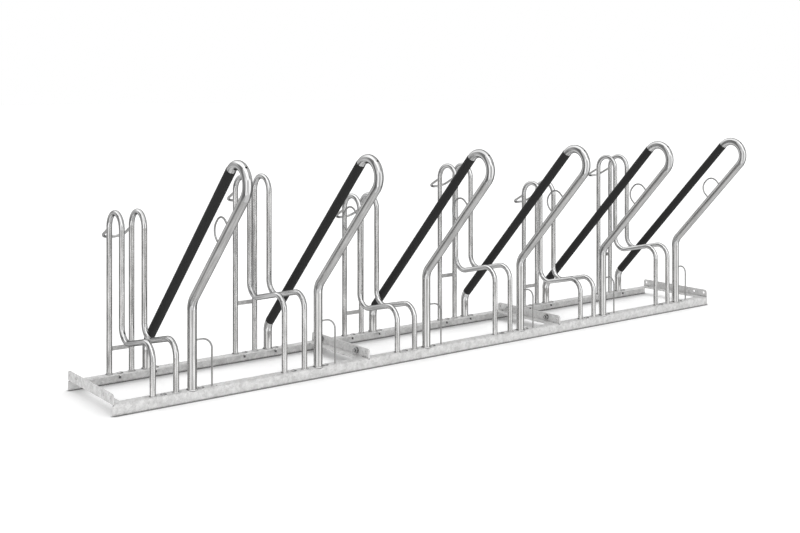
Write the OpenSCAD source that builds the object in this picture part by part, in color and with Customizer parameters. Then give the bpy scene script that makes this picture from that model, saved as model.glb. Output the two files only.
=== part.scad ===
// Floor bike rack made of modules bolted end to end. Two steel angle rails stand on the floor. Each bike
// place has a pair of wheel hoops, alternately low and high, and a sloping lean bar with a grip sleeve.
// Millimetres. X runs along the rack, Y from the front to the back and Z up from the floor.

/* [Rack] */
// Number of modules bolted end to end
module_count = 3; // [1:1:3]
// Length of one module
module_length = 1000; // [900:10:1200]
// Bike places on one module
places_per_module = 2; // [1:1:2]
// Depth over the outer faces of the two floor rails
rack_depth = 385; // [370:5:420]
// Distance from a rail's outer face to the middle of the tubes that stand on it
foot_inset = 16; // [14:0.5:19]

/* [Angle steel] */
// Width of each leg of the angle, outside
angle_leg = 37; // [36:0.5:45]
// Thickness of the angle
angle_wall = 4; // [3:0.5:5]
// Radius inside the angle's bend
angle_inner_r = 3; // [1:0.5:4]

/* [Hoops] */
// Outer diameter of the hoop tube
hoop_tube_d = 20; // [16:0.5:24]
// Wall of the hoop tube
hoop_tube_wall = 2; // [1.5:0.25:3]
// Distance between the two hoops of a place, middle to middle
hoop_gap = 83; // [70:1:100]
// Distance from the right hoop to the lean bar, middle to middle
hoop_to_lean = 58; // [45:1:80]
// Height of a low hoop
hoop_height = 617; // [560:1:680]
// How much taller a high hoop is
high_rise = 100; // [0:5:120]
// Bend radius at the top of a hoop, to the middle of the tube
hoop_turn_r = 53.5; // [45:0.5:60]
// Bend radius at the two ends of the low run, to the middle of the tube
hoop_bend_r = 52; // [40:1:60]
// Height of the corner where the run of a low hoop starts, at the back
run_height = 160; // [140:1:220]
// Slope of the run, rising towards the front, in degrees
run_slope = 13; // [5:0.5:18]

/* [Tie straps] */
// Height of the flat bar between the back legs of a pair of hoops
strap_width = 15; // [10:1:25]
// Thickness of the flat bar
strap_wall = 4; // [3:0.5:6]
// Height of the middle of the flat bar on a low pair
strap_height = 126; // [110:1:200]

/* [Lean bars] */
// Outer diameter of the lean bar tube
lean_tube_d = 32; // [28:0.5:34]
// Wall of the lean bar tube
lean_tube_wall = 2.5; // [2:0.25:4]
// Height of the lean bar
lean_height = 817; // [780:1:880]
// Slope of the lean bar, in degrees above the floor
lean_slope = 46.5; // [44:0.5:50]
// Height of the back corner, where the slope starts
lean_knee_height = 129; // [110:1:150]
// Bend radius of the lean bar, to the middle of the tube
lean_bend_r = 60; // [52:0.5:65]
// Diameter of the vent hole at the top of the lean bar
lean_vent_d = 8; // [5:0.5:10]

/* [Grip sleeves] */
// Wall of the soft sleeve over the lean bar
sleeve_wall = 1; // [1:0.25:4]

/* [Wire parts] */
// Diameter of the round wire of the wheel stops
stop_wire_d = 10; // [8:0.5:12]
// Diameter of the round wire of the lock eyes and foot loops
loop_wire_d = 6; // [5:0.5:8]
// Distance from the start of the bend at the top of a hoop down to the wheel stop
stop_below_turn = 3; // [2:0.5:40]
// Distance from the back legs to the bar of the wheel stop, middle to middle
stop_reach = 81; // [50:1:95]
// Slope of the wheel stop, falling towards the back, in degrees
stop_slope = 28; // [0:1:45]
// Bend radius of the wheel stop, to the middle of the wire
stop_bend_r = 38; // [20:1:40]
// Width of the lock eye along the bar, middle to middle
eye_width = 88; // [80:1:110]
// Distance from the bar's surface to the far side of the lock eye, to the middle of the wire
eye_reach = 56; // [45:1:70]
// Bend radius of the lock eye, to the middle of the wire
eye_bend_r = 39; // [20:1:43]
// Distance along the slope from the front corner to the middle of the lock eye
eye_along = 327; // [200:1:360]
// Height of the foot loop above the rail
loop_height = 163; // [120:1:220]
// Distance from the lean bar to the leg of the foot loop, middle to middle
loop_reach = 74; // [60:1:100]
// Bend radius of the foot loop, to the middle of the wire
loop_bend_r = 38; // [25:1:42]

/* [Rail bolts] */
// Diameter of the round heads on the rails' top legs
round_head_d = 22; // [18:0.5:23]
// Height of the round heads
round_head_height = 5; // [4:0.5:6]
// Height of the upright edge of the round heads
round_head_edge = 1; // [0.5:0.5:2]
// Diameter of the rail bolts
rail_bolt_d = 8; // [6:0.5:8]
// Length of the rail bolts under their heads
rail_bolt_length = 20; // [16:1:25]
// Width across the flats of the rail nuts
rail_nut_flats = 13; // [11:0.5:15]
// Height of the rail nuts
rail_nut_height = 6.5; // [5:0.1:8]
// Diameter of the rail bolts' holes
rail_hole_d = 9; // [8.5:0.5:10]
// Distance from a rail's outer face to the middle of the rail bolts
rail_bolt_inset = 18; // [16:0.5:20]
// Distance from the lean bar to the rail bolts on its left
rail_bolt_left = 102; // [92:0.5:112]
// Distance from the lean bar to the rail bolts on its right
rail_bolt_right = 34; // [30:0.5:42]

/* [Drain holes] */
// Diameter of the drain holes in the rails
drain_d = 5; // [4:0.5:8]
// Distance from a rail's outer face to the drain holes
drain_inset = 11; // [10:0.5:14]
// Distance from a tube or wire to the drain hole on its right
drain_beside = 14.5; // [14:0.5:18]
// Diameter of the drain notches in the tube feet
notch_d = 8; // [5:0.5:9]

/* [End plates] */
// Height of the bolt holes above the plate's lower edge
end_hole_rise = 22.5; // [18:0.5:26]
// Diameter of the bolt holes
end_hole_d = 11; // [10.5:0.5:13]
// Distance from a rail's outer face to the outer bolt hole
end_hole_outer = 17; // [14:0.5:25]
// Distance from a rail's outer face to the inner bolt hole
end_hole_inner = 74; // [60:1:120]
// Radius of the plate's upper corners
end_corner_r = 12; // [4:1:16]

/* [Coupling bolts] */
// Diameter of the bolt
bolt_d = 10; // [8:0.5:10]
// Length of the bolt under its head
bolt_length = 30; // [28:1:40]
// Width across the flats of the bolt head and the nut
hex_flats = 17; // [14:0.5:19]
// Height of the bolt head
bolt_head_height = 6.4; // [5:0.1:8]
// Height of the nut
nut_height = 8.4; // [6:0.1:10]
// Outer diameter of the washer
washer_d = 20; // [19:0.5:24]
// Diameter of the washer's hole
washer_bore_d = 10.5; // [10.5:0.5:12]
// Thickness of the washer
washer_wall = 2; // [1:0.25:3]

/* [Hidden] */
$fn = 48;
// How far every cut reaches past the face that it opens
overrun = 1;
// Gap left at a weld or fit between two pieces with curved faces
seat_gap = 0.1;
// How far a straight run reaches into the bend next to it, and how much thicker it is than the bend
splice_lap = 1;
splice_step = 0.1;
// Colours as they show in daylight
zinc_color = "#c9c9c4";
bright_zinc_color = "#dcdcd8";
sleeve_color = "#2b2b2b";

// Layout along the rack
rack_length = module_count * module_length;
place_count = module_count * places_per_module;
place_pitch = module_length / places_per_module;
hoop_far = hoop_gap + hoop_to_lean;
// Rail section and the heights and depths that follow from it
angle_outer_r = angle_inner_r + angle_wall;
rail_top = angle_leg;
plate_bottom = rail_top - angle_wall;
front_y = foot_inset;
back_y = rack_depth - foot_inset;

// Lean bar: direction up the slope, and the direction square to it on the upper side
slope_way = [-cos(lean_slope), sin(lean_slope)];
slope_side = [sin(lean_slope), cos(lean_slope)];
back_knee = [back_y, lean_knee_height];
knee_rise = ((back_y - front_y) * slope_side[0] - 2 * lean_bend_r) / slope_side[1];
front_knee = back_knee + [front_y - back_y, knee_rise];
middle_knee = (back_knee + front_knee) / 2;
turn_height = lean_height - lean_tube_d / 2 - lean_bend_r;
turn_middle = middle_knee + slope_way * (turn_height - middle_knee[1]) / slope_way[1];
knee_reach = lean_bend_r * tan((90 - lean_slope) / 2);
upper_run = (turn_middle - back_knee) * slope_way - knee_reach;
lower_run = (turn_middle - front_knee) * slope_way - knee_reach;
lean_steps = [
    [lean_knee_height - rail_top - knee_reach, 90 - lean_slope, lean_bend_r],
    [upper_run, 180, lean_bend_r],
    [lower_run, lean_slope - 90, lean_bend_r],
    [front_knee[1] - rail_top - knee_reach, 0, 0]
];
sleeve_bore_d = lean_tube_d + 2 * seat_gap;

// Wheel stop: length of its arms along their slope
stop_arm = stop_reach / cos(stop_slope);

// The rack's middle in depth, between the front of the lean bars and the back of the wheel stops
front_reach = turn_middle[0] - lean_bend_r - lean_tube_d / 2;
back_reach = back_y + stop_reach + stop_wire_d / 2;
middle_y = (front_reach + back_reach) / 2;

// Left end of module m, lean bar of place n, and the extra height of a high pair of hoops
function module_x(m) = (m - 1) * module_length;
function lean_x(n) = (n - 1 / 2) * place_pitch + (hoop_far - loop_reach) / 2;
function rise(n) = (n % 2 == 0) ? high_rise : 0;
function places_of(m) = [for (k = [1:places_per_module]) (m - 1) * places_per_module + k];

// Runs and bends of a hoop, from the back foot over the top and along the low run to the front foot
function hoop_steps(up) = let(
    turn_z = hoop_height + up - hoop_tube_d / 2 - hoop_turn_r,
    run_depth = back_y - 2 * hoop_turn_r - front_y,
    run_front = run_height + up + run_depth * tan(run_slope),
    reach = hoop_bend_r * tan((90 + run_slope) / 2)
) [
    [turn_z - rail_top, 180, hoop_turn_r],
    [turn_z - run_height - up - reach, -90 - run_slope, hoop_bend_r],
    [run_depth / cos(run_slope) - 2 * reach, 90 + run_slope, hoop_bend_r],
    [run_front - rail_top - reach, 0, 0]
];

// Puts a piece drawn from the rack's left end and front face into the rack's own frame
module in_rack() {
    translate([-rack_length / 2, -middle_y, 0]) children();
}

// Stands a drawing whose x and y are the rack's Y and Z at a place along the rack
module upright(x) {
    translate([x, 0, 0]) rotate([90, 0, 90]) children();
}

// Moves a piece drawn along +X to start at point p of the drawing plane with the given heading
module from(p, heading) {
    translate([p[0], p[1], 0]) rotate([0, 0, heading]) children();
}

// A straight round bar along +X, longer by extra at each end
module straight_bar(length, d, extra = 0) {
    translate([-extra, 0, 0]) rotate([0, 90, 0]) cylinder(d = d, h = length + 2 * extra);
}

// A round bar that starts along +X and is bent in one plane. Each step is a straight run, the angle that
// it turns to the left after the run, and the bend radius. Runs lap the bends and stand a hair proud of
// them, so that no two surfaces of the bar lie in one another.
module bent_bar(steps, d, extra = 0, i = 0) {
    run = steps[i][0];
    angle = steps[i][1];
    radius = steps[i][2];
    last = (i == len(steps) - 1);
    before = (i == 0) ? extra : splice_lap;
    after = last ? extra : splice_lap;
    translate([-before, 0, 0]) straight_bar(run + before + after, d + 2 * splice_step);
    if (!last) {
        side = sign(angle) * radius;
        translate([run, side, 0]) {
            rotate([0, 0, (angle > 0) ? -90 : 90 + angle])
                rotate_extrude(angle = abs(angle))
                    translate([radius, 0]) circle(d = d);
            rotate([0, 0, angle]) translate([0, -side, 0]) bent_bar(steps, d, extra, i + 1);
        }
    }
}

// The same bar as a tube, open at both ends
module bent_tube(steps, d, wall) {
    difference() {
        bent_bar(steps, d);
        bent_bar(steps, d - 2 * wall, overrun);
    }
}

// Section of the bent angle, with its outer corner at zero and its legs along x and y
module angle_section() {
    translate([angle_outer_r, 0]) square([angle_leg - angle_outer_r, angle_wall]);
    translate([0, angle_outer_r]) square([angle_wall, angle_leg - angle_outer_r]);
    intersection() {
        square(angle_outer_r);
        translate([angle_outer_r, angle_outer_r]) difference() {
            circle(r = angle_outer_r);
            circle(r = angle_inner_r);
        }
    }
}

// Cuts a round hole through a rail's top leg, y inwards from its outer face
module rail_hole(x, y, d) {
    translate([x, y, plate_bottom - overrun]) cylinder(d = d, h = angle_wall + 2 * overrun);
}

// Bolt holes and drain holes of a rail of module m
module rail_holes(m) {
    for (n = places_of(m)) {
        for (x = [-rail_bolt_left, rail_bolt_right])
            rail_hole(lean_x(n) + x, rail_bolt_inset, rail_hole_d);
        for (x = [drain_beside - hoop_to_lean, loop_reach + drain_beside])
            rail_hole(lean_x(n) + x, drain_inset, drain_d);
    }
}

// A floor rail with its outer face at the front: an upright leg, a top leg pointing back, bolt holes,
// drain holes, and a step at each end where the end plate stands in
module rail(m) {
    difference() {
        upright(module_x(m))
            translate([0, rail_top, 0])
                linear_extrude(module_length)
                    mirror([0, 1]) angle_section();
        rail_holes(m);
        for (x = [module_x(m) - overrun, module_x(m) + module_length - angle_wall])
            translate([x, -overrun, plate_bottom])
                cube([angle_wall + overrun, angle_leg + 2 * overrun, angle_wall + overrun]);
    }
}

module front_rail(m) {
    color(zinc_color) in_rack() rail(m);
}

module back_rail(m) {
    color(zinc_color) in_rack() translate([0, rack_depth, 0]) mirror([0, 1, 0]) rail(m);
}

// Side view of an end plate, with round upper corners
module plate_outline() {
    square([rack_depth, angle_leg - end_corner_r]);
    translate([end_corner_r, 0]) square([rack_depth - 2 * end_corner_r, angle_leg]);
    for (y = [end_corner_r, rack_depth - end_corner_r])
        translate([y, angle_leg - end_corner_r]) circle(r = end_corner_r);
}

// An end angle with its plate's outer face at zero and its floor leg pointing along +X. The floor leg is
// cut short at both ends, where the rails' top legs lie at the same height.
module end_angle() {
    translate([0, 0, plate_bottom]) difference() {
        intersection() {
            translate([0, rack_depth, 0]) rotate([90, 0, 0]) linear_extrude(rack_depth) angle_section();
            rotate([90, 0, 90]) linear_extrude(angle_leg) plate_outline();
        }
        for (y = [-overrun, rack_depth - angle_leg])
            translate([angle_wall, y, -overrun])
                cube([angle_leg, angle_leg + overrun, angle_outer_r + 2 * overrun]);
        for (y = end_hole_places())
            translate([-overrun, y, end_hole_rise])
                rotate([0, 90, 0])
                    cylinder(d = end_hole_d, h = angle_wall + 2 * overrun);
    }
}

function end_hole_places() = [
    end_hole_outer,
    end_hole_inner,
    rack_depth - end_hole_inner,
    rack_depth - end_hole_outer
];

module left_end_angle(m) {
    color(zinc_color) in_rack() translate([module_x(m), 0, 0]) end_angle();
}

module right_end_angle(m) {
    color(zinc_color) in_rack() translate([module_x(m + 1), 0, 0]) mirror([1, 0, 0]) end_angle();
}

// Drain notches at both feet of a tube at x, on its left side
module foot_notches(x, d) {
    for (y = [front_y, back_y])
        translate([x - d / 2 - overrun, y, rail_top])
            rotate([0, 90, 0])
                cylinder(d = notch_d, h = d / 2 + overrun);
}

module hoop(x, up) {
    upright(x) from([back_y, rail_top], 90) bent_tube(hoop_steps(up), hoop_tube_d, hoop_tube_wall);
}

module left_hoop(n) {
    x = lean_x(n) - hoop_far;
    color(zinc_color) in_rack() difference() {
        hoop(x, rise(n));
        foot_notches(x, hoop_tube_d);
    }
}

module right_hoop(n) {
    color(zinc_color) in_rack() hoop(lean_x(n) - hoop_to_lean, rise(n));
}

// Flat bars that tie the back legs of each pair of hoops together
module tie_straps() {
    length = hoop_gap - hoop_tube_d - 2 * seat_gap;
    color(bright_zinc_color) in_rack()
        for (n = [1:place_count])
            translate([
                lean_x(n) - hoop_far + hoop_tube_d / 2 + seat_gap,
                back_y - strap_wall / 2,
                strap_height + rise(n) - strap_width / 2
            ]) cube([length, strap_wall, strap_width]);
}

// Wire that joins the back legs of a pair behind the wheel, coped to the legs
module wheel_stop(n) {
    steps = [
        [stop_arm - stop_bend_r, -90, stop_bend_r],
        [hoop_gap - 2 * stop_bend_r, -90, stop_bend_r],
        [stop_arm - stop_bend_r, 0, 0]
    ];
    height = hoop_height + rise(n) - hoop_tube_d / 2 - hoop_turn_r - stop_below_turn;
    // The coping cuts reach past the wire's ends by a tube's diameter
    color(zinc_color) in_rack()
        translate([lean_x(n) - hoop_far, back_y, height]) difference() {
            rotate([-stop_slope, 0, 0]) from([0, 0], 90) bent_bar(steps, stop_wire_d);
            for (x = [0, hoop_gap])
                translate([x, 0, -hoop_tube_d])
                    cylinder(d = hoop_tube_d + 2 * seat_gap, h = 2 * hoop_tube_d);
        }
}

module lean_bar(n) {
    vent_start = turn_middle + slope_way * lean_bend_r;
    color(zinc_color) in_rack() difference() {
        upright(lean_x(n)) from([back_y, rail_top], 90) bent_tube(lean_steps, lean_tube_d, lean_tube_wall);
        upright(lean_x(n)) from(vent_start, 180 - lean_slope) straight_bar(lean_tube_d, lean_vent_d);
        foot_notches(lean_x(n), lean_tube_d);
    }
}

// Soft sleeve over the whole straight slope of the lean bar
module grip_sleeve(n) {
    start = back_knee + slope_way * knee_reach;
    color(sleeve_color) in_rack() upright(lean_x(n)) from(start, 180 - lean_slope) difference() {
        straight_bar(upper_run, sleeve_bore_d + 2 * sleeve_wall);
        straight_bar(upper_run, sleeve_bore_d, overrun);
    }
}

// Wire eye for a lock on the upper side of the lean bar's lower run, coped to the tube
module lock_eye(n) {
    middle = front_knee + slope_way * eye_along;
    leg = lean_tube_d / 2 + eye_reach - eye_bend_r;
    steps = [
        [leg, 90, eye_bend_r],
        [eye_width - 2 * eye_bend_r, 90, eye_bend_r],
        [leg, 0, 0]
    ];
    color(zinc_color) in_rack() upright(lean_x(n)) from(middle, 180 - lean_slope) difference() {
        from([-eye_width / 2, 0], -90) bent_bar(steps, loop_wire_d);
        from([-eye_width, 0], 0) straight_bar(2 * eye_width, lean_tube_d + 2 * seat_gap);
    }
}

// Wire loop at the front foot of the lean bar, from the leg over to the rail
module foot_loop(n) {
    steps = [[loop_reach - loop_bend_r, -90, loop_bend_r], [loop_height - loop_bend_r, 0, 0]];
    color(zinc_color) in_rack() translate([lean_x(n), front_y, 0]) difference() {
        rotate([90, 0, 0]) from([0, rail_top + loop_height], 0) bent_bar(steps, loop_wire_d);
        translate([0, 0, rail_top]) cylinder(d = lean_tube_d + 2 * seat_gap, h = 2 * loop_height);
    }
}

// A hexagonal block along +Z with the corners of its far face turned off
module hex_block(flats, height) {
    corner_r = flats / 2 / cos(30);
    turned = corner_r - flats / 2;
    intersection() {
        cylinder(r = corner_r, h = height, $fn = 6);
        rotate_extrude() polygon([
            [0, 0],
            [corner_r, 0],
            [corner_r, height - turned],
            [flats / 2, height],
            [0, height]
        ]);
    }
}

// A nut along +Z for a bolt of diameter d
module nut(flats, height, d) {
    difference() {
        hex_block(flats, height);
        translate([0, 0, -overrun]) cylinder(d = d + 2 * seat_gap, h = height + 2 * overrun);
    }
}

// A bolt's shank from zero down, with a turned tip
module shank(d, length) {
    tip = d / 10;
    rotate_extrude() polygon([
        [0, -length],
        [d / 2 - tip, -length],
        [d / 2, tip - length],
        [d / 2, 0],
        [0, 0]
    ]);
}

// A low dome along +Z with a short upright edge
module round_head() {
    dome_height = round_head_height - round_head_edge;
    dome_r = (pow(round_head_d / 2, 2) + pow(dome_height, 2)) / (2 * dome_height);
    rotate_extrude() intersection() {
        square([round_head_d / 2, round_head_height]);
        translate([0, round_head_height - dome_r]) circle(r = dome_r);
    }
}

// Places its children at each rail bolt, with +Z up from the rail's top
module at_rail_bolts() {
    for (n = [1:place_count])
        for (x = [-rail_bolt_left, rail_bolt_right])
            for (y = [rail_bolt_inset, rack_depth - rail_bolt_inset])
                translate([lean_x(n) + x, y, rail_top]) children();
}

module rail_bolts() {
    color(bright_zinc_color) in_rack() at_rail_bolts() {
        round_head();
        shank(rail_bolt_d, rail_bolt_length);
    }
}

module rail_nuts() {
    color(bright_zinc_color) in_rack() at_rail_bolts()
        translate([0, 0, -angle_wall]) mirror([0, 0, 1]) nut(rail_nut_flats, rail_nut_height, rail_bolt_d);
}

// Places its children at each coupling bolt hole, at the seam of two end plates, with +Z towards +X
module at_couplings() {
    for (m = [2:module_count])
        for (y = [end_hole_inner, rack_depth - end_hole_inner])
            translate([module_x(m), y, plate_bottom + end_hole_rise]) rotate([0, 90, 0]) children();
}

module coupling_bolts() {
    color(bright_zinc_color) in_rack() at_couplings() translate([0, 0, angle_wall + washer_wall]) {
        hex_block(hex_flats, bolt_head_height);
        shank(bolt_d, bolt_length);
    }
}

module coupling_nuts() {
    color(bright_zinc_color) in_rack() at_couplings()
        translate([0, 0, -angle_wall - washer_wall]) mirror([0, 0, 1]) nut(hex_flats, nut_height, bolt_d);
}

module coupling_washers() {
    color(bright_zinc_color) in_rack() at_couplings()
        for (z = [angle_wall, -angle_wall - washer_wall])
            translate([0, 0, z]) difference() {
                cylinder(d = washer_d, h = washer_wall);
                translate([0, 0, -overrun])
                    cylinder(d = washer_bore_d, h = washer_wall + 2 * overrun);
            }
}

for (m = [1:module_count]) {
    front_rail(m);
    back_rail(m);
    left_end_angle(m);
    right_end_angle(m);
}
for (n = [1:place_count]) {
    left_hoop(n);
    right_hoop(n);
    wheel_stop(n);
    lean_bar(n);
    grip_sleeve(n);
    lock_eye(n);
    foot_loop(n);
}
tie_straps();
rail_bolts();
rail_nuts();
coupling_bolts();
coupling_nuts();
coupling_washers();
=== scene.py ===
import math
import random

import bmesh
import bpy
from mathutils import Matrix, Vector


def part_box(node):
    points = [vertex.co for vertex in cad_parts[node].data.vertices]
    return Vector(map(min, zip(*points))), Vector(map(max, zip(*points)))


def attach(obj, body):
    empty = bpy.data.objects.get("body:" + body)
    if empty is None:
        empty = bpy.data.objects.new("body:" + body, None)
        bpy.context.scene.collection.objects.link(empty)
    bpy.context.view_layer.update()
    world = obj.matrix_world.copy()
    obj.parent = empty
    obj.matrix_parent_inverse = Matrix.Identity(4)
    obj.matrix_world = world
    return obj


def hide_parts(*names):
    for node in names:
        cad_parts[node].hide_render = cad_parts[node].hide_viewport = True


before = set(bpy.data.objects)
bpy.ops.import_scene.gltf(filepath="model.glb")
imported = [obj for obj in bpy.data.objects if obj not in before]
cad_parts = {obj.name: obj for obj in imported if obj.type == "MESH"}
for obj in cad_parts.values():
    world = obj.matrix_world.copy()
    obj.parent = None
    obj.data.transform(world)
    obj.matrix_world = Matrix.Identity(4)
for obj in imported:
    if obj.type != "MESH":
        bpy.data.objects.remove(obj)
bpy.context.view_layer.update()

# Sizes of the CAD part, in metres and radians, measured from its left end, front face and floor
PLACES = 6
MODULES = 3
MODULE = 1.0
PITCH = MODULE / 2
DEPTH = 0.385
INSET = 0.016
LEG = 0.037
WALL = 0.004
HOOP_D = 0.020
HOOP_WALL = 0.002
HOOP_FAR = 0.141
HOOP_NEAR = 0.058
HOOP_TOP = 0.617
HIGH_RISE = 0.100
HOOP_TURN_R = 0.0535
HOOP_BEND_R = 0.052
RUN_HEIGHT = 0.160
RUN_SLOPE = math.radians(13)
STRAP_HEIGHT = 0.126
STRAP_WIDTH = 0.015
STRAP_WALL = 0.004
LEAN_D = 0.032
LEAN_WALL = 0.0025
LEAN_TOP = 0.817
LEAN_SLOPE = math.radians(46.5)
LEAN_KNEE = 0.129
LEAN_R = 0.060
NOTCH_D = 0.008
VENT_D = 0.008
STOP_WIRE_D = 0.010
STOP_REACH = 0.081
STOP_BEND_R = 0.038
STOP_SLOPE = math.radians(28)
STOP_BELOW_TURN = 0.003
LOOP_WIRE_D = 0.006
EYE_ALONG = 0.327
EYE_WIDTH = 0.088
EYE_REACH = 0.056
EYE_BEND_R = 0.039
LOOP_BEND_R = 0.038
LOOP_REACH = 0.074
LOOP_HEIGHT = 0.163

# Places and directions worked out from them
ORIGIN = Vector(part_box("front_rail_1")[0])
FRONT_Y = INSET
BACK_Y = DEPTH - INSET
KNEE_RISE = ((BACK_Y - FRONT_Y) * math.sin(LEAN_SLOPE) - 2 * LEAN_R) / math.cos(LEAN_SLOPE)
STOP_Z = HOOP_TOP - HOOP_D / 2 - HOOP_TURN_R - STOP_BELOW_TURN
UP = Vector((0, 0, 1))
RIGHT = Vector((1, 0, 0))
BACK = Vector((0, 1, 0))
UPRIGHT = (Vector((0, 0, 0)), BACK, UP)
LEAN_WAY = Vector((0, -math.cos(LEAN_SLOPE), math.sin(LEAN_SLOPE)))
LEAN_SIDE = Vector((0, math.sin(LEAN_SLOPE), math.cos(LEAN_SLOPE)))
FRONT_KNEE = Vector((0, FRONT_Y, LEAN_KNEE + KNEE_RISE))

random.seed(7)


def at(x, y, z):
    """A point given from the rack's left end, front face and floor, in the part's own frame."""
    return ORIGIN + Vector((x, y, z))


def lean_x(n):
    """Where the lean bar of place n stands along the rack. Places count from 1 at the left end."""
    return (n - 0.5) * PITCH + (HOOP_FAR - LOOP_REACH) / 2


def rise(n):
    """How much higher the hoops of place n are: every second pair is a high one."""
    return HIGH_RISE if n % 2 == 0 else 0.0


# Shader helpers
OCCLUSION_SAMPLES = 8
BEVEL_SAMPLES = 6


class Tree:
    """A small wrapper that adds shader nodes and links them in one call."""

    def __init__(self, owner):
        owner.use_nodes = True
        self.tree = owner.node_tree
        self.tree.nodes.clear()

    def node(self, kind, settings=None, **inputs):
        """A new node. An input is named as on the node, or i0, i1 and so on by its number."""
        made = self.tree.nodes.new(kind)
        for key, value in (settings or {}).items():
            setattr(made, key, value)
        for key, value in inputs.items():
            self.put(made, key, value)
        return made

    def put(self, made, key, value):
        if key.startswith("i") and key[1:].isdigit():
            socket = made.inputs[int(key[1:])]
        else:
            socket = made.inputs[key.replace("_", " ")]
        if isinstance(value, bpy.types.NodeSocket):
            self.tree.links.new(value, socket)
        else:
            socket.default_value = value

    def math(self, operation, a, b):
        return self.node("ShaderNodeMath", {"operation": operation}, i0=a, i1=b).outputs[0]

    def total(self, *parts):
        """The sum of (value, weight) pairs."""
        result = 0.0
        for value, weight in parts:
            result = self.math("ADD", result, self.math("MULTIPLY", value, weight))
        return result

    def mix(self, factor, a, b):
        """The number a where factor is 0, b where it is 1."""
        made = self.node("ShaderNodeMix", {"data_type": "FLOAT"}, i0=factor, i2=a, i3=b)
        return made.outputs[0]

    def blend(self, factor, a, b):
        """The colour a where factor is 0, b where it is 1."""
        made = self.node("ShaderNodeMix", {"data_type": "RGBA"}, i0=factor, i6=a, i7=b)
        return made.outputs[2]

    def remap(self, value, low, high, to_low, to_high):
        inputs = {"i0": value, "i1": low, "i2": high, "i3": to_low, "i4": to_high}
        return self.node("ShaderNodeMapRange", {"clamp": True}, **inputs).outputs[0]

    def spread(self, value, low, high):
        return self.remap(value, low, high, 0.0, 1.0)

    def smooth(self, value, low, high):
        """A smooth step from 0 at low to 1 at high."""
        inputs = {"i0": value, "i1": low, "i2": high, "i3": 0.0, "i4": 1.0}
        return self.node("ShaderNodeMapRange", {"interpolation_type": "SMOOTHSTEP"}, **inputs).outputs[0]

    def vector(self, operation, a, b=(0, 0, 0)):
        made = self.node("ShaderNodeVectorMath", {"operation": operation}, i0=a, i1=b)
        return made.outputs["Value" if operation == "DOT_PRODUCT" else "Vector"]

    def axis(self, vector, number):
        return self.node("ShaderNodeSeparateXYZ", {}, i0=vector).outputs[number]

    def place(self):
        """The place on the object, in metres."""
        return self.node("ShaderNodeTexCoord").outputs["Object"]

    def noise(self, vector, scale, detail=3.0, roughness=0.5, distortion=0.0):
        made = self.node("ShaderNodeTexNoise", {}, Vector=vector, Scale=scale, Detail=detail,
                         Roughness=roughness, Distortion=distortion)
        return made.outputs["Fac"]

    def cells(self, vector, scale):
        """A random number for each cell."""
        colours = self.node("ShaderNodeTexVoronoi", {"feature": "F1"}, Vector=vector, Scale=scale)
        return self.node("ShaderNodeSeparateColor", {}, i0=colours.outputs["Color"]).outputs[0]

    def openness(self, distance):
        """1 in the open, less in corners and beside other pieces nearer than distance."""
        made = self.node("ShaderNodeAmbientOcclusion", {"samples": OCCLUSION_SAMPLES}, Distance=distance)
        return made.outputs["AO"]

    def rounded(self, radius):
        """The normal, with edges rounded off by radius."""
        return self.node("ShaderNodeBevel", {"samples": BEVEL_SAMPLES}, Radius=radius).outputs[0]

    def bump(self, height, strength, distance, normal=None):
        made = self.node("ShaderNodeBump", {}, Strength=strength, Distance=distance, Height=height)
        if normal is not None:
            self.put(made, "Normal", normal)
        return made.outputs[0]

    def surface(self, **inputs):
        shader = self.node("ShaderNodeBsdfPrincipled", {}, **inputs)
        self.node("ShaderNodeOutputMaterial", {}, Surface=shader.outputs[0])
        return shader


def grey(level, warm=0.0):
    return (level * (1 + warm), level, level * (1 - warm * 1.6), 1.0)


# Materials
BLACK = grey(0.0)
WHITE = grey(1.0)
# How near another face is where painted shade begins, how round the edges look and how deep the bumps are
CORNER_SHADE_REACH = 0.009
HEAD_SHADE_REACH = 0.006
EDGE_ROUND = 0.0009
ZINC_BUMP = 0.0005
TUBE_BUMP = 0.0006
FINE_BUMP = 0.0003
SPANGLE_SHIFT = (0.3, 0.1, 0.7)
# The patterns of a tube are drawn out along it
STREAK_STRETCH = (1, 1, 0.05)
CLOUD_STRETCH = (1, 1, 0.35)
LINE_STRETCH = (1, 1, 0.02)
# The palest grey in a bend
SMOOTH_LIMIT = 0.84


def zinc(name, low, high, spangle, rough, metallic=0.85):
    """Hot-dip galvanised steel, grey from low to high, mottled, with spangle and pits, and painted shade
    that darkens it towards black in corners.
    """
    material = bpy.data.materials.new(name)
    t = Tree(material)
    place = t.place()
    cloud = t.spread(t.noise(place, 42.0, detail=5.0, roughness=0.66, distortion=0.4), 0.38, 0.62)
    flake = t.cells(t.vector("ADD", place, SPANGLE_SHIFT), spangle)
    specks = t.spread(t.noise(place, 260.0, roughness=0.6), 0.34, 0.66)
    tone = t.total((cloud, 0.42), (flake, 0.30), (specks, 0.28))
    unshaded = t.blend(tone, grey(low, 0.006), grey(high, 0.003))
    # Painted shade: the colour goes towards black in corners and beside other pieces.
    shade = t.remap(t.openness(CORNER_SHADE_REACH), 0.42, 0.80, 0.05, 1.0)
    roughness = t.remap(tone, 0.0, 1.0, rough + 0.08, rough - 0.08)
    height = t.total((t.noise(place, 900.0, detail=2.0), 0.4), (specks, 0.6))
    normal = t.bump(height, 0.25, ZINC_BUMP, t.rounded(EDGE_ROUND))
    t.surface(Base_Color=t.blend(shade, BLACK, unshaded), Metallic=metallic, Roughness=roughness, Normal=normal)
    return material


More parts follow.
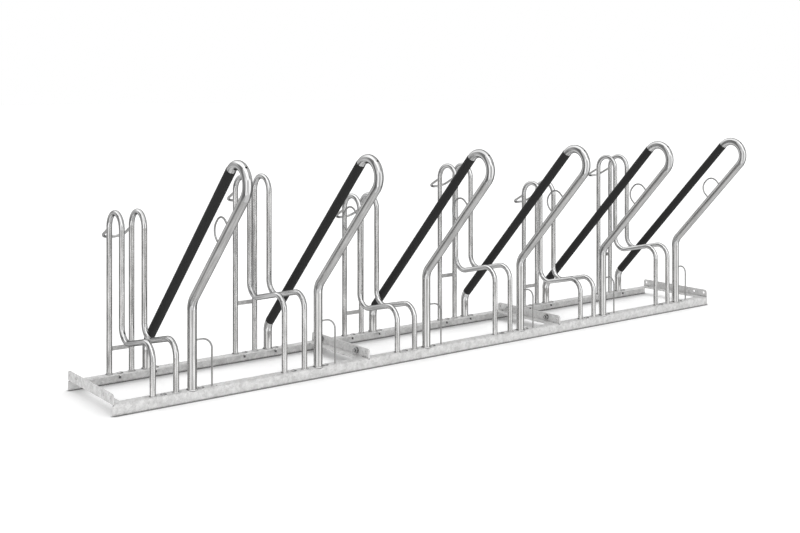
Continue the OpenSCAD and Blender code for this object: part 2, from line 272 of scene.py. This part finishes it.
def tube_zinc(name, low, high, rough, fine=1.0, shine=1.0, grain=0.4):
    """Galvanised tube or wire: grey from low to high, streaked along where it is straight, smooth in bends.

    fine makes the streaks narrower, shine makes the bends smoother and grain deepens the bump.
    """
    material = bpy.data.materials.new(name)
    t = Tree(material)
    place = t.node("ShaderNodeAttribute", {"attribute_name": "tube"}).outputs["Vector"]
    bend = t.node("ShaderNodeAttribute", {"attribute_name": "bend"}).outputs["Fac"]
    long_place = t.vector("MULTIPLY", place, STREAK_STRETCH)
    streaks = t.spread(t.noise(long_place, 190.0 * fine, roughness=0.6), 0.40, 0.62)
    cloud_place = t.vector("MULTIPLY", place, CLOUD_STRETCH)
    cloud = t.spread(t.noise(cloud_place, 46.0, detail=4.0, roughness=0.6, distortion=0.3), 0.34, 0.66)
    specks = t.spread(t.noise(place, 420.0, roughness=0.65), 0.36, 0.66)
    tone = t.total((streaks, 0.50), (cloud, 0.28), (specks, 0.22))
    straight = t.blend(tone, grey(low, 0.008), grey(high, 0.004))
    line_place = t.vector("MULTIPLY", place, LINE_STRETCH)
    lines = t.spread(t.noise(line_place, 300.0 * fine, detail=2.0), 0.42, 0.58)
    middle = (low + high) / 2
    smooth = t.blend(lines, grey(middle * 0.82), grey(min(SMOOTH_LIMIT, middle * 1.3)))
    dull = t.remap(tone, 0.0, 1.0, rough * 1.25, rough * 0.75)
    roughness = t.math("MULTIPLY", dull, t.remap(bend, 0.0, 1.0, 1.0, 1.0 - 0.55 * shine))
    height = t.total((specks, 0.35), (streaks, 0.65))
    height = t.math("MULTIPLY", height, t.remap(bend, 0.0, 1.0, 1.0, 0.3))
    t.surface(Base_Color=t.blend(bend, straight, smooth), Metallic=1.0, Roughness=roughness,
              Normal=t.bump(height, grain, TUBE_BUMP),
              Specular_Tint=t.blend(bend, grey(0.70), grey(0.25)))
    return material


def rubber(name):
    """Matte black sleeve with a faint grain."""
    material = bpy.data.materials.new(name)
    t = Tree(material)
    cloud = t.noise(t.place(), 25.0)
    grain = t.noise(t.place(), 1400.0, detail=2.0)
    shader = t.surface(Base_Color=t.blend(cloud, grey(0.016), grey(0.022)),
                       Roughness=t.remap(cloud, 0.3, 0.7, 0.62, 0.74), Normal=t.bump(grain, 0.2, FINE_BUMP))
    shader.inputs["Specular IOR Level"].default_value = 0.25
    return material


def plated_zinc(name, side_shade=1.0):
    """Zinc plated fasteners, smoother than the rack, with painted shade in corners. A rim below 1 paints
    shade on the sides of upright ones.
    """
    material = bpy.data.materials.new(name)
    t = Tree(material)
    cloud = t.noise(t.place(), 160.0)
    unshaded = t.blend(cloud, grey(0.46), grey(0.62))
    # Painted shade: near black in corners round the heads.
    colour = t.blend(t.spread(t.openness(HEAD_SHADE_REACH), 0.45, 0.90), grey(0.03), unshaded)
    upward = t.axis(t.node("ShaderNodeNewGeometry").outputs["Normal"], 2)
    # Painted shade: faces that turn away from straight up get darker, down to the rim level.
    colour = t.blend(t.remap(upward, 0.60, 0.95, side_shade, 1.0), BLACK, colour)
    pits = t.noise(t.place(), 1200.0, detail=2.0)
    t.surface(Base_Color=colour, Metallic=1.0, Roughness=t.remap(cloud, 0.3, 0.7, 0.20, 0.32),
              Normal=t.bump(pits, 0.12, FINE_BUMP))
    return material


rail_metal = zinc("rail_zinc", 0.50, 0.84, spangle=110.0, rough=0.50, metallic=0.20)
strap_metal = zinc("strap_zinc", 0.32, 0.54, spangle=160.0, rough=0.42)
hoop_metal = tube_zinc("hoop_zinc", 0.38, 0.90, rough=0.20)
lean_metal = tube_zinc("lean_zinc", 0.48, 0.80, rough=0.11, shine=0.3, grain=0.12)
wire_metal = tube_zinc("wire_zinc", 0.28, 0.52, rough=0.32, fine=1.6, shine=0.2)
stop_metal = tube_zinc("stop_zinc", 0.38, 0.72, rough=0.30, fine=1.6, shine=0.2)
weld_metal = zinc("weld_zinc", 0.50, 0.84, spangle=240.0, rough=0.34)
bolt_metal = plated_zinc("bolt_zinc")
MATERIALS = {
    "front_rail": rail_metal,
    "back_rail": rail_metal,
    "left_end_angle": rail_metal,
    "right_end_angle": rail_metal,
    "left_hoop": hoop_metal,
    "right_hoop": hoop_metal,
    "tie_straps": strap_metal,
    "wheel_stop": stop_metal,
    "lean_bar": lean_metal,
    "grip_sleeve": rubber("sleeve_rubber"),
    "lock_eye": wire_metal,
    "foot_loop": wire_metal,
    "rail_bolts": plated_zinc("rail_bolt_zinc", side_shade=0.25),
    "rail_nuts": bolt_metal,
    "coupling_bolts": bolt_metal,
    "coupling_nuts": bolt_metal,
    "coupling_washers": bolt_metal,
}

for node_name, node_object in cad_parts.items():
    chosen = MATERIALS[node_name.rstrip("_0123456789")]
    if node_object.material_slots:
        for material_slot in node_object.material_slots:
            material_slot.material = chosen
    else:
        node_object.data.materials.append(chosen)

# Bent tubes and wires, swept smoothly along the same lines as the CAD's
HOOP_SIDES = 32
LEAN_SIDES = 40
WIRE_SIDES = 16
HOLE_SIDES = 24
BEND_STEP = math.radians(4)
# How far into a bend its own look begins, and the longest run between two bends that has that look too
BEND_EDGE = 0.0004
SHORT_RUN = 0.2
# How deep a wire's tip is in the tube that it is welded to
TIP_DEPTH = 0.0015
SHARP_ANGLE = math.radians(40)
# How far along its streaks each next place begins
STREAK_SHIFT = 1.7


def side_of(heading):
    """The direction to the left of a heading, in a plane."""
    return Vector((-math.sin(heading), math.cos(heading)))


def bend_path(start, heading, steps):
    """Rows of (place, heading, length so far, bent) of a bar bent in a plane.

    Each step is a straight run, and the turn and radius of the bend after it. bent is 1 in a bend and in a
    short run between two bends, and 0 in the other straight runs.
    """
    place, along, rows = Vector(start), 0.0, []
    for run, turn, radius in steps:
        bent = 1.0 if rows and turn and run < SHORT_RUN else 0.0
        rows.append((place.copy(), heading, along, bent))
        place = place + Vector((math.cos(heading), math.sin(heading))) * run
        along += run
        rows.append((place.copy(), heading, along, bent))
        if turn:
            side = math.copysign(radius, turn)
            centre = place + side_of(heading) * side
            edge = BEND_EDGE / radius / abs(turn)
            count = math.ceil(abs(turn) / BEND_STEP)
            for share in [edge] + [i / count for i in range(1, count)] + [1 - edge]:
                here = heading + turn * share
                rows.append((centre - side_of(here) * side, here, along + abs(turn) * share * radius, 1.0))
            heading += turn
            along += abs(turn) * radius
            place = centre - side_of(heading) * side
    return rows


def join_rings(bm, a, b):
    """Faces between two rings with the same number of vertices."""
    sides = len(a)
    for k in range(sides):
        bm.faces.new((a[k], a[(k + 1) % sides], b[(k + 1) % sides], b[k]))


def sweep(bm, rows, plane, radius, sides):
    """Rings of vertices round a path, joined by faces. plane is its origin and two directions."""
    bend = bm.verts.layers.float["bend"]
    tube = bm.verts.layers.float_vector["tube"]
    origin, first, second = plane
    third = first.cross(second)
    rings = []
    for place, heading, along, bent in rows:
        side = side_of(heading)
        middle = origin + first * place.x + second * place.y
        outward = first * side.x + second * side.y
        ring = []
        for k in range(sides):
            q = 2 * math.pi * k / sides
            vert = bm.verts.new(middle + (outward * math.cos(q) + third * math.sin(q)) * radius)
            vert[bend] = bent
            vert[tube] = (radius * math.cos(q), radius * math.sin(q), along)
            ring.append(vert)
        rings.append(ring)
    for a, b in zip(rings, rings[1:]):
        join_rings(bm, a, b)
    return rings


def swept_mesh(name, rows, plane, diameter, sides, wall=0.0):
    """A solid bar, or with a wall an open tube, as a mesh."""
    bm = bmesh.new()
    bm.verts.layers.float.new("bend")
    bm.verts.layers.float_vector.new("tube")
    outer = sweep(bm, rows, plane, diameter / 2, sides)
    if wall:
        inner = sweep(bm, rows, plane, diameter / 2 - wall, sides)
        join_rings(bm, outer[0], inner[0])
        join_rings(bm, outer[-1], inner[-1])
    else:
        bm.faces.new(outer[0])
        bm.faces.new(outer[-1])
    return closed_mesh(name, bm)


def closed_mesh(name, bm):
    bmesh.ops.recalc_face_normals(bm, faces=bm.faces)
    mesh = bpy.data.meshes.new(name)
    bm.to_mesh(mesh)
    bm.free()
    return mesh


def drilled(mesh, holes):
    """The mesh with round holes cut into it, each given as (start, direction, diameter, length)."""
    body = bpy.data.objects.new("drilled", mesh)
    bm = bmesh.new()
    for start, direction, diameter, length in holes:
        turn = Vector(direction).to_track_quat("Z", "Y").to_matrix().to_4x4()
        middle = Vector(start) + Vector(direction).normalized() * length / 2
        bmesh.ops.create_cone(bm, cap_ends=True, segments=HOLE_SIDES, radius1=diameter / 2,
                              radius2=diameter / 2, depth=length, matrix=Matrix.Translation(middle) @ turn)
    cutter_mesh = bpy.data.meshes.new("cutter")
    bm.to_mesh(cutter_mesh)
    bm.free()
    cutter = bpy.data.objects.new("cutter", cutter_mesh)
    for thing in (body, cutter):
        bpy.context.scene.collection.objects.link(thing)
    cut = body.modifiers.new("holes", "BOOLEAN")
    cut.operation = "DIFFERENCE"
    cut.solver = "EXACT"
    cut.object = cutter
    view = bpy.context.evaluated_depsgraph_get()
    result = bpy.data.meshes.new_from_object(body.evaluated_get(view), depsgraph=view)
    for thing in (body, cutter):
        bpy.data.objects.remove(thing)
    return result


def foot_notches(tube_d):
    """Drain notches on the left side of both feet."""
    start_x = -tube_d / 2 - NOTCH_D
    return [((start_x, y, LEG), RIGHT, NOTCH_D, tube_d / 2 + NOTCH_D) for y in (FRONT_Y, BACK_Y)]


def hoop_mesh(up, notched):
    """A wheel hoop, up higher than a low one: its back leg, top turn, sloping run and front leg."""
    turn_z = HOOP_TOP + up - HOOP_D / 2 - HOOP_TURN_R
    run_depth = BACK_Y - 2 * HOOP_TURN_R - FRONT_Y
    run_front = RUN_HEIGHT + up + run_depth * math.tan(RUN_SLOPE)
    turn = math.pi / 2 + RUN_SLOPE
    reach = HOOP_BEND_R * math.tan(turn / 2)
    steps = [
        (turn_z - LEG, math.pi, HOOP_TURN_R),
        (turn_z - RUN_HEIGHT - up - reach, -turn, HOOP_BEND_R),
        (run_depth / math.cos(RUN_SLOPE) - 2 * reach, turn, HOOP_BEND_R),
        (run_front - LEG - reach, 0, 0),
    ]
    rows = bend_path((BACK_Y, LEG), math.pi / 2, steps)
    mesh = swept_mesh("hoop", rows, UPRIGHT, HOOP_D, HOOP_SIDES, HOOP_WALL)
    return drilled(mesh, foot_notches(HOOP_D)) if notched else mesh


def lean_mesh():
    """A lean bar, from its back foot up the slope, round the top and down the slope to its front foot."""
    reach = LEAN_R * math.tan((math.pi / 2 - LEAN_SLOPE) / 2)
    turn_z = LEAN_TOP - LEAN_D / 2 - LEAN_R
    back_knee = Vector((0, BACK_Y, LEAN_KNEE))
    middle = (back_knee + FRONT_KNEE) / 2
    top = middle + LEAN_WAY * (turn_z - middle.z) / LEAN_WAY.z
    steps = [
        (LEAN_KNEE - LEG - reach, math.pi / 2 - LEAN_SLOPE, LEAN_R),
        ((top - back_knee).dot(LEAN_WAY) - reach, math.pi, LEAN_R),
        ((top - FRONT_KNEE).dot(LEAN_WAY) - reach, LEAN_SLOPE - math.pi / 2, LEAN_R),
        (FRONT_KNEE.z - LEG - reach, 0, 0),
    ]
    rows = bend_path((BACK_Y, LEG), math.pi / 2, steps)
    mesh = swept_mesh("lean", rows, UPRIGHT, LEAN_D, LEAN_SIDES, LEAN_WALL)
    vent = (top + LEAN_WAY * LEAN_R, LEAN_WAY, VENT_D, LEAN_D)
    return drilled(mesh, foot_notches(LEAN_D) + [vent])


def stop_mesh():
    """A wheel stop behind the back legs of a low pair of hoops, from the left leg round to the right one."""
    arm = STOP_REACH / math.cos(STOP_SLOPE)
    tip = HOOP_D / 2 - TIP_DEPTH
    steps = [
        (arm - STOP_BEND_R - tip, -math.pi / 2, STOP_BEND_R),
        (HOOP_FAR - HOOP_NEAR - 2 * STOP_BEND_R, -math.pi / 2, STOP_BEND_R),
        (arm - STOP_BEND_R - tip, 0, 0),
    ]
    down = Vector((0, math.cos(STOP_SLOPE), -math.sin(STOP_SLOPE)))
    rows = bend_path((0, tip), math.pi / 2, steps)
    return swept_mesh("stop", rows, (Vector((0, BACK_Y, STOP_Z)), RIGHT, down), STOP_WIRE_D, WIRE_SIDES)


def eye_mesh():
    """A lock eye under the lower slope of a lean bar."""
    tip = LEAN_D / 2 - TIP_DEPTH
    leg = LEAN_D / 2 + EYE_REACH - EYE_BEND_R - tip
    steps = [
        (leg, math.pi / 2, EYE_BEND_R),
        (EYE_WIDTH - 2 * EYE_BEND_R, math.pi / 2, EYE_BEND_R),
        (leg, 0, 0),
    ]
    middle = FRONT_KNEE + LEAN_WAY * EYE_ALONG
    rows = bend_path((-EYE_WIDTH / 2, -tip), -math.pi / 2, steps)
    return swept_mesh("eye", rows, (middle, LEAN_WAY, -LEAN_SIDE), LOOP_WIRE_D, WIRE_SIDES)


def loop_mesh():
    """A foot loop from the front leg of a lean bar down to the rail."""
    tip = LEAN_D / 2 - TIP_DEPTH
    steps = [
        (LOOP_REACH - LOOP_BEND_R - tip, -math.pi / 2, LOOP_BEND_R),
        (LOOP_HEIGHT - LOOP_BEND_R, 0, 0),
    ]
    rows = bend_path((tip, LEG + LOOP_HEIGHT), 0.0, steps)
    return swept_mesh("loop", rows, (Vector((0, FRONT_Y, 0)), RIGHT, UP), LOOP_WIRE_D, WIRE_SIDES)


def add_piece(name, mesh):
    piece = bpy.data.objects.new(name, mesh)
    bpy.context.scene.collection.objects.link(piece)
    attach(piece, "root")
    return piece


def stand_in(base, kind, n, x, up=0.0, way=1):
    """A copy of a base mesh at place n that replaces a CAD node. way is how its streaks shift with n."""
    node = f"{kind}_{n}"
    mesh = base.copy()
    mesh.transform(Matrix.Translation(at(x, 0, up)))
    streaks = mesh.attributes["tube"]
    values = [0.0] * (3 * len(mesh.vertices))
    streaks.data.foreach_get("vector", values)
    values[2::3] = [along + way * n * STREAK_SHIFT for along in values[2::3]]
    streaks.data.foreach_set("vector", values)
    mesh.materials.clear()
    mesh.materials.append(MATERIALS[kind])
    mesh.shade_smooth()
    mesh.set_sharp_from_angle(angle=SHARP_ANGLE)
    piece = add_piece(f"{node}_smooth", mesh)
    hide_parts(node)


left_hoops = [hoop_mesh(up, True) for up in (0.0, HIGH_RISE)]
right_hoops = [hoop_mesh(up, False) for up in (0.0, HIGH_RISE)]
lean_base = lean_mesh()
stop_base = stop_mesh()
eye_base = eye_mesh()
loop_base = loop_mesh()
for n in range(1, PLACES + 1):
    x, high = lean_x(n), 1 - n % 2
    stand_in(left_hoops[high], "left_hoop", n, x - HOOP_FAR)
    stand_in(right_hoops[high], "right_hoop", n, x - HOOP_NEAR, way=-1)
    stand_in(lean_base, "lean_bar", n, x)
    stand_in(stop_base, "wheel_stop", n, x - HOOP_FAR, up=rise(n))
    stand_in(eye_base, "lock_eye", n, x)
    stand_in(loop_base, "foot_loop", n, x)

# Weld beads
BEAD_SIDES = 8
BEAD_STEP = 0.0022
FEWEST_ROUND = 16
FEWEST_ALONG = 4
BEAD_R = 0.0027
LEAN_BEAD_R = BEAD_R * 1.15
SMALL_BEAD_R = 0.0012
# How far the middle of a bead is from the tube, wire or strap beside it
BEAD_LIFT = 0.0006
SMALL_LIFT = 0.0004
STRAP_LIFT = 0.0002
# Share of a bead's size that comes and goes in waves, and at random
RIPPLE = 0.14
UNEVEN = 0.08
RIPPLE_TURN = 2.1
END_SIZE = 0.45
NOTCH_GAP = math.radians(24)
LEFT_SIDE = math.pi
# Where each weld of an end plate starts and stops, from the outside of the rail
END_WELD = (0.004, 0.030)


def add_bead(bm, points, size, closed, axis):
    """A rippled bead of weld along points. axis is a direction square to the path."""
    rings = []
    count = len(points)
    turns = [2 * math.pi * k / BEAD_SIDES for k in range(BEAD_SIDES)]
    for i, point in enumerate(points):
        after = points[(i + 1) % count] if closed or i + 1 < count else point
        before = points[i - 1] if closed or i > 0 else point
        tangent = (after - before).normalized()
        outward = tangent.cross(axis).normalized()
        upward = outward.cross(tangent)
        size_here = size * (1 + RIPPLE * math.sin(i * RIPPLE_TURN) + random.uniform(-UNEVEN, UNEVEN))
        if not closed and i in (0, count - 1):
            size_here *= END_SIZE
        rings.append([
            bm.verts.new(point + (outward * math.cos(q) + upward * math.sin(q)) * size_here) for q in turns
        ])
    for i in range(count if closed else count - 1):
        join_rings(bm, rings[i], rings[(i + 1) % count])
    if not closed:
        bm.faces.new(list(reversed(rings[0])))
        bm.faces.new(rings[-1])


def ring_bead(bm, place, axis, other, radius, size, tube_r=None, notch=None):
    """A bead round a tube or wire whose axis is axis, where it meets a flat face.

    With tube_r it meets another tube of that radius, whose own axis is other. notch is an angle where the
    bead leaves a gap.
    """
    across = axis.cross(other).normalized()
    steps = max(FEWEST_ROUND, round(2 * math.pi * radius / BEAD_STEP))
    points = []
    start = 0.0 if notch is None else notch + NOTCH_GAP
    span = 2 * math.pi if notch is None else 2 * math.pi - 2 * NOTCH_GAP
    for i in range(steps if notch is None else steps + 1):
        q = start + span * i / steps
        sideways = radius * math.cos(q)
        back = 0.0 if tube_r is None else math.sqrt(max(0.0, tube_r ** 2 - sideways ** 2)) - tube_r
        points.append(place + across * sideways + other * (radius * math.sin(q)) + axis * back)
    add_bead(bm, points, size, notch is None, axis)


def line_bead(bm, start, end, axis, size):
    steps = max(FEWEST_ALONG, round((end - start).length / BEAD_STEP))
    points = [start.lerp(end, i / steps) for i in range(steps + 1)]
    add_bead(bm, points, size, False, axis)


def finish_welds(name, bm):
    mesh = closed_mesh(name, bm)
    mesh.shade_smooth()
    mesh.materials.append(weld_metal)
    add_piece(name, mesh)


def place_welds(n):
    """The beads of one place, at the feet, the foot loop, the wheel stop, the tie strap and the lock eye."""
    bm = bmesh.new()
    x, up = lean_x(n), rise(n)
    left, right = x - HOOP_FAR, x - HOOP_NEAR
    hoop_r, lean_r = HOOP_D / 2, LEAN_D / 2
    loop_r = LOOP_WIRE_D / 2 + SMALL_LIFT
    for y in (FRONT_Y, BACK_Y):
        ring_bead(bm, at(left, y, LEG), UP, -BACK, hoop_r + BEAD_LIFT, BEAD_R, notch=LEFT_SIDE)
        ring_bead(bm, at(right, y, LEG), UP, -BACK, hoop_r + BEAD_LIFT, BEAD_R)
        ring_bead(bm, at(x, y, LEG), UP, -BACK, lean_r + BEAD_LIFT, LEAN_BEAD_R, notch=LEFT_SIDE)
    ring_bead(bm, at(x + LOOP_REACH, FRONT_Y, LEG), UP, -BACK, loop_r, SMALL_BEAD_R)
    ring_bead(bm, at(x + lean_r, FRONT_Y, LEG + LOOP_HEIGHT), RIGHT, UP, loop_r, SMALL_BEAD_R, lean_r)
    stop_z = STOP_Z + up - hoop_r * math.tan(STOP_SLOPE)
    for leg_x in (left, right):
        spot = at(leg_x, BACK_Y + hoop_r, stop_z)
        ring_bead(bm, spot, BACK, UP, STOP_WIRE_D / 2 + SMALL_LIFT, SMALL_BEAD_R, hoop_r)
    low, high = STRAP_HEIGHT + up - STRAP_WIDTH / 2, STRAP_HEIGHT + up + STRAP_WIDTH / 2
    for leg_x, way in ((left, 1), (right, -1)):
        edge = leg_x + way * (hoop_r + STRAP_LIFT)
        for side in (-1, 1):
            y = BACK_Y + side * (STRAP_WALL / 2 + SMALL_LIFT)
            line_bead(bm, at(edge, y, low), at(edge, y, high), BACK, SMALL_BEAD_R)
    for along in (EYE_ALONG - EYE_WIDTH / 2, EYE_ALONG + EYE_WIDTH / 2):
        spot = FRONT_KNEE + LEAN_WAY * along + LEAN_SIDE * lean_r
        ring_bead(bm, at(x, spot.y, spot.z), LEAN_SIDE, LEAN_WAY, loop_r, SMALL_BEAD_R, lean_r)
    finish_welds(f"weld_beads_{n}", bm)


def module_welds(m):
    """The beads where the end plates of one module meet its rails."""
    bm = bmesh.new()
    near, far = END_WELD
    for end, inward in ((m * MODULE, 1), ((m + 1) * MODULE, -1)):
        x = end + inward * (WALL + SMALL_LIFT)
        for start_y, end_y in ((near, far), (DEPTH - far, DEPTH - near)):
            line_bead(bm, at(x, start_y, LEG), at(x, end_y, LEG), UP, BEAD_R)
    finish_welds(f"end_welds_{m + 1}", bm)


for n in range(1, PLACES + 1):
    place_welds(n)
for m in range(MODULES):
    module_welds(m)

# Floor. It lies a little below the rack, so that their faces never coincide
FLOOR_HALF = 60.0
FLOOR_DROP = 0.0004
FLOOR_COLOUR = 0.86
FLOOR_GLOW = 0.33
SHADOW_REACH = 0.15
SHADOW_POWER = 1.6
CONTACT_REACH = 0.014
CONTACT_POWER = 3.0


def make_floor():
    """A pale floor with a painted soft shadow: its glow fades near the rack, and its colour and glow go to
    black where the rack meets it. Metal mirrors the studio of the world instead of it.
    """
    mesh = bpy.data.meshes.new("floor")
    corners = [(x * FLOOR_HALF, y * FLOOR_HALF, 0) for x, y in ((-1, -1), (1, -1), (1, 1), (-1, 1))]
    mesh.from_pydata(corners, [], [(0, 1, 2, 3)])
    floor = bpy.data.objects.new("floor", mesh)
    floor.location.z = -FLOOR_DROP
    floor.visible_glossy = False
    bpy.context.scene.collection.objects.link(floor)
    material = bpy.data.materials.new("floor_white")
    t = Tree(material)
    # Painted shadow: how shut in the floor is near the rack takes down its glow and colour.
    shadow = t.math("POWER", t.openness(SHADOW_REACH), SHADOW_POWER)
    contact_shade = t.math("POWER", t.openness(CONTACT_REACH), CONTACT_POWER)
    glow = t.math("MULTIPLY", t.math("MULTIPLY", shadow, contact_shade), FLOOR_GLOW)
    lit = t.node("ShaderNodeBsdfDiffuse", {}, Color=t.blend(contact_shade, BLACK, grey(FLOOR_COLOUR)))
    shine = t.node("ShaderNodeEmission", {}, Color=WHITE, Strength=glow)
    both = t.node("ShaderNodeAddShader", {}, i0=lit.outputs[0], i1=shine.outputs[0])
    t.node("ShaderNodeOutputMaterial", {}, Surface=both.outputs[0])
    mesh.materials.append(material)


# Light: a plain world and two soft lamps, each given as name, direction to it, strength and width in degrees
WORLD_LEVEL = 0.64
KEY = ("key", Vector((0.50, 0.38, 0.80)), 0.80, 120)
FILL = ("fill", Vector((-0.55, -0.80, 0.26)), 1.20, 120)
# The studio that metal mirrors. Heights in it go from -1 straight below to 1 straight above
DIM_LEVEL = 0.20
# Bright parts of it: direction and two half widths in degrees, and how much brighter they are
BRIGHT_PARTS = ((302, 10, 30, 1.05), (214, 3, 16, 0.70), (90, 20, 60, 0.55))
BELOW_LEVEL = 0.72
BELOW_HEIGHTS = (-0.75, -0.50)
OVERHEAD_HEIGHTS = (0.25, 0.50)
# The bright strip overhead, with its middle and soft edge as the X of a direction, and beside it
STRIP_LEVEL = 1.05
STRIP_X = -0.1
STRIP_EDGE = (0.28, 0.55)
SIDE_LEVEL = 0.22


def make_world():
    """White to the camera and plain elsewhere. Metal sees a strip overhead and bright parts all round."""
    world = bpy.data.worlds.new("studio")
    bpy.context.scene.world = world
    t = Tree(world)
    way = t.node("ShaderNodeTexCoord").outputs["Generated"]
    height = t.axis(way, 2)
    flat = t.vector("NORMALIZE", t.vector("MULTIPLY", way, (1, 1, 0)))
    parts = [(1.0, DIM_LEVEL)]
    for degrees, inner, outer, gain in BRIGHT_PARTS:
        toward = (math.cos(math.radians(degrees)), math.sin(math.radians(degrees)), 0)
        facing = t.vector("DOT_PRODUCT", flat, toward)
        part = t.smooth(facing, math.cos(math.radians(outer)), math.cos(math.radians(inner)))
        parts.append((part, gain))
    around = t.mix(t.smooth(height, *BELOW_HEIGHTS), BELOW_LEVEL, t.total(*parts))
    aside = t.smooth(t.math("ABSOLUTE", t.math("SUBTRACT", t.axis(way, 0), STRIP_X), 0.0), *STRIP_EDGE)
    over = t.mix(aside, STRIP_LEVEL, SIDE_LEVEL)
    mirrored = t.mix(t.smooth(height, *OVERHEAD_HEIGHTS), around, over)
    path = t.node("ShaderNodeLightPath")
    clear = t.math("MAXIMUM", path.outputs["Is Camera Ray"], path.outputs["Is Transmission Ray"])
    strength = t.mix(path.outputs["Is Glossy Ray"], t.mix(clear, WORLD_LEVEL, 1.0), mirrored)
    light = t.node("ShaderNodeBackground", {}, Color=WHITE, Strength=strength)
    t.node("ShaderNodeOutputWorld", {}, Surface=light.outputs[0])


def soft_sun(name, direction, strength, spread):
    data = bpy.data.lights.new(name, "SUN")
    data.energy = strength
    data.angle = math.radians(spread)
    lamp = bpy.data.objects.new(name, data)
    lamp.rotation_euler = direction.to_track_quat("Z", "Y").to_euler()
    bpy.context.scene.collection.objects.link(lamp)


make_floor()
make_world()
soft_sun(*KEY)
soft_sun(*FILL)

# Camera, matched to the photograph. Its place is measured as the part's sizes are, in metres and radians
CAMERA_PLACE = (-1.417, -3.345, 1.0413)
CAMERA_TURN = 0.653
CAMERA_LENS = 50.04
CAMERA_SHIFT = (0.0004, -0.2235)
CAMERA_FAR = 200.0
camera_data = bpy.data.cameras.new("camera")
camera_data.lens = CAMERA_LENS
camera_data.sensor_width = 36.0
camera_data.shift_x, camera_data.shift_y = CAMERA_SHIFT
camera_data.clip_end = CAMERA_FAR
camera = bpy.data.objects.new("camera", camera_data)
camera.location = at(*CAMERA_PLACE)
camera.rotation_euler = (math.pi / 2, 0, -CAMERA_TURN)
bpy.context.scene.collection.objects.link(camera)
bpy.context.scene.camera = camera
bpy.context.scene.view_settings.view_transform = "Standard"
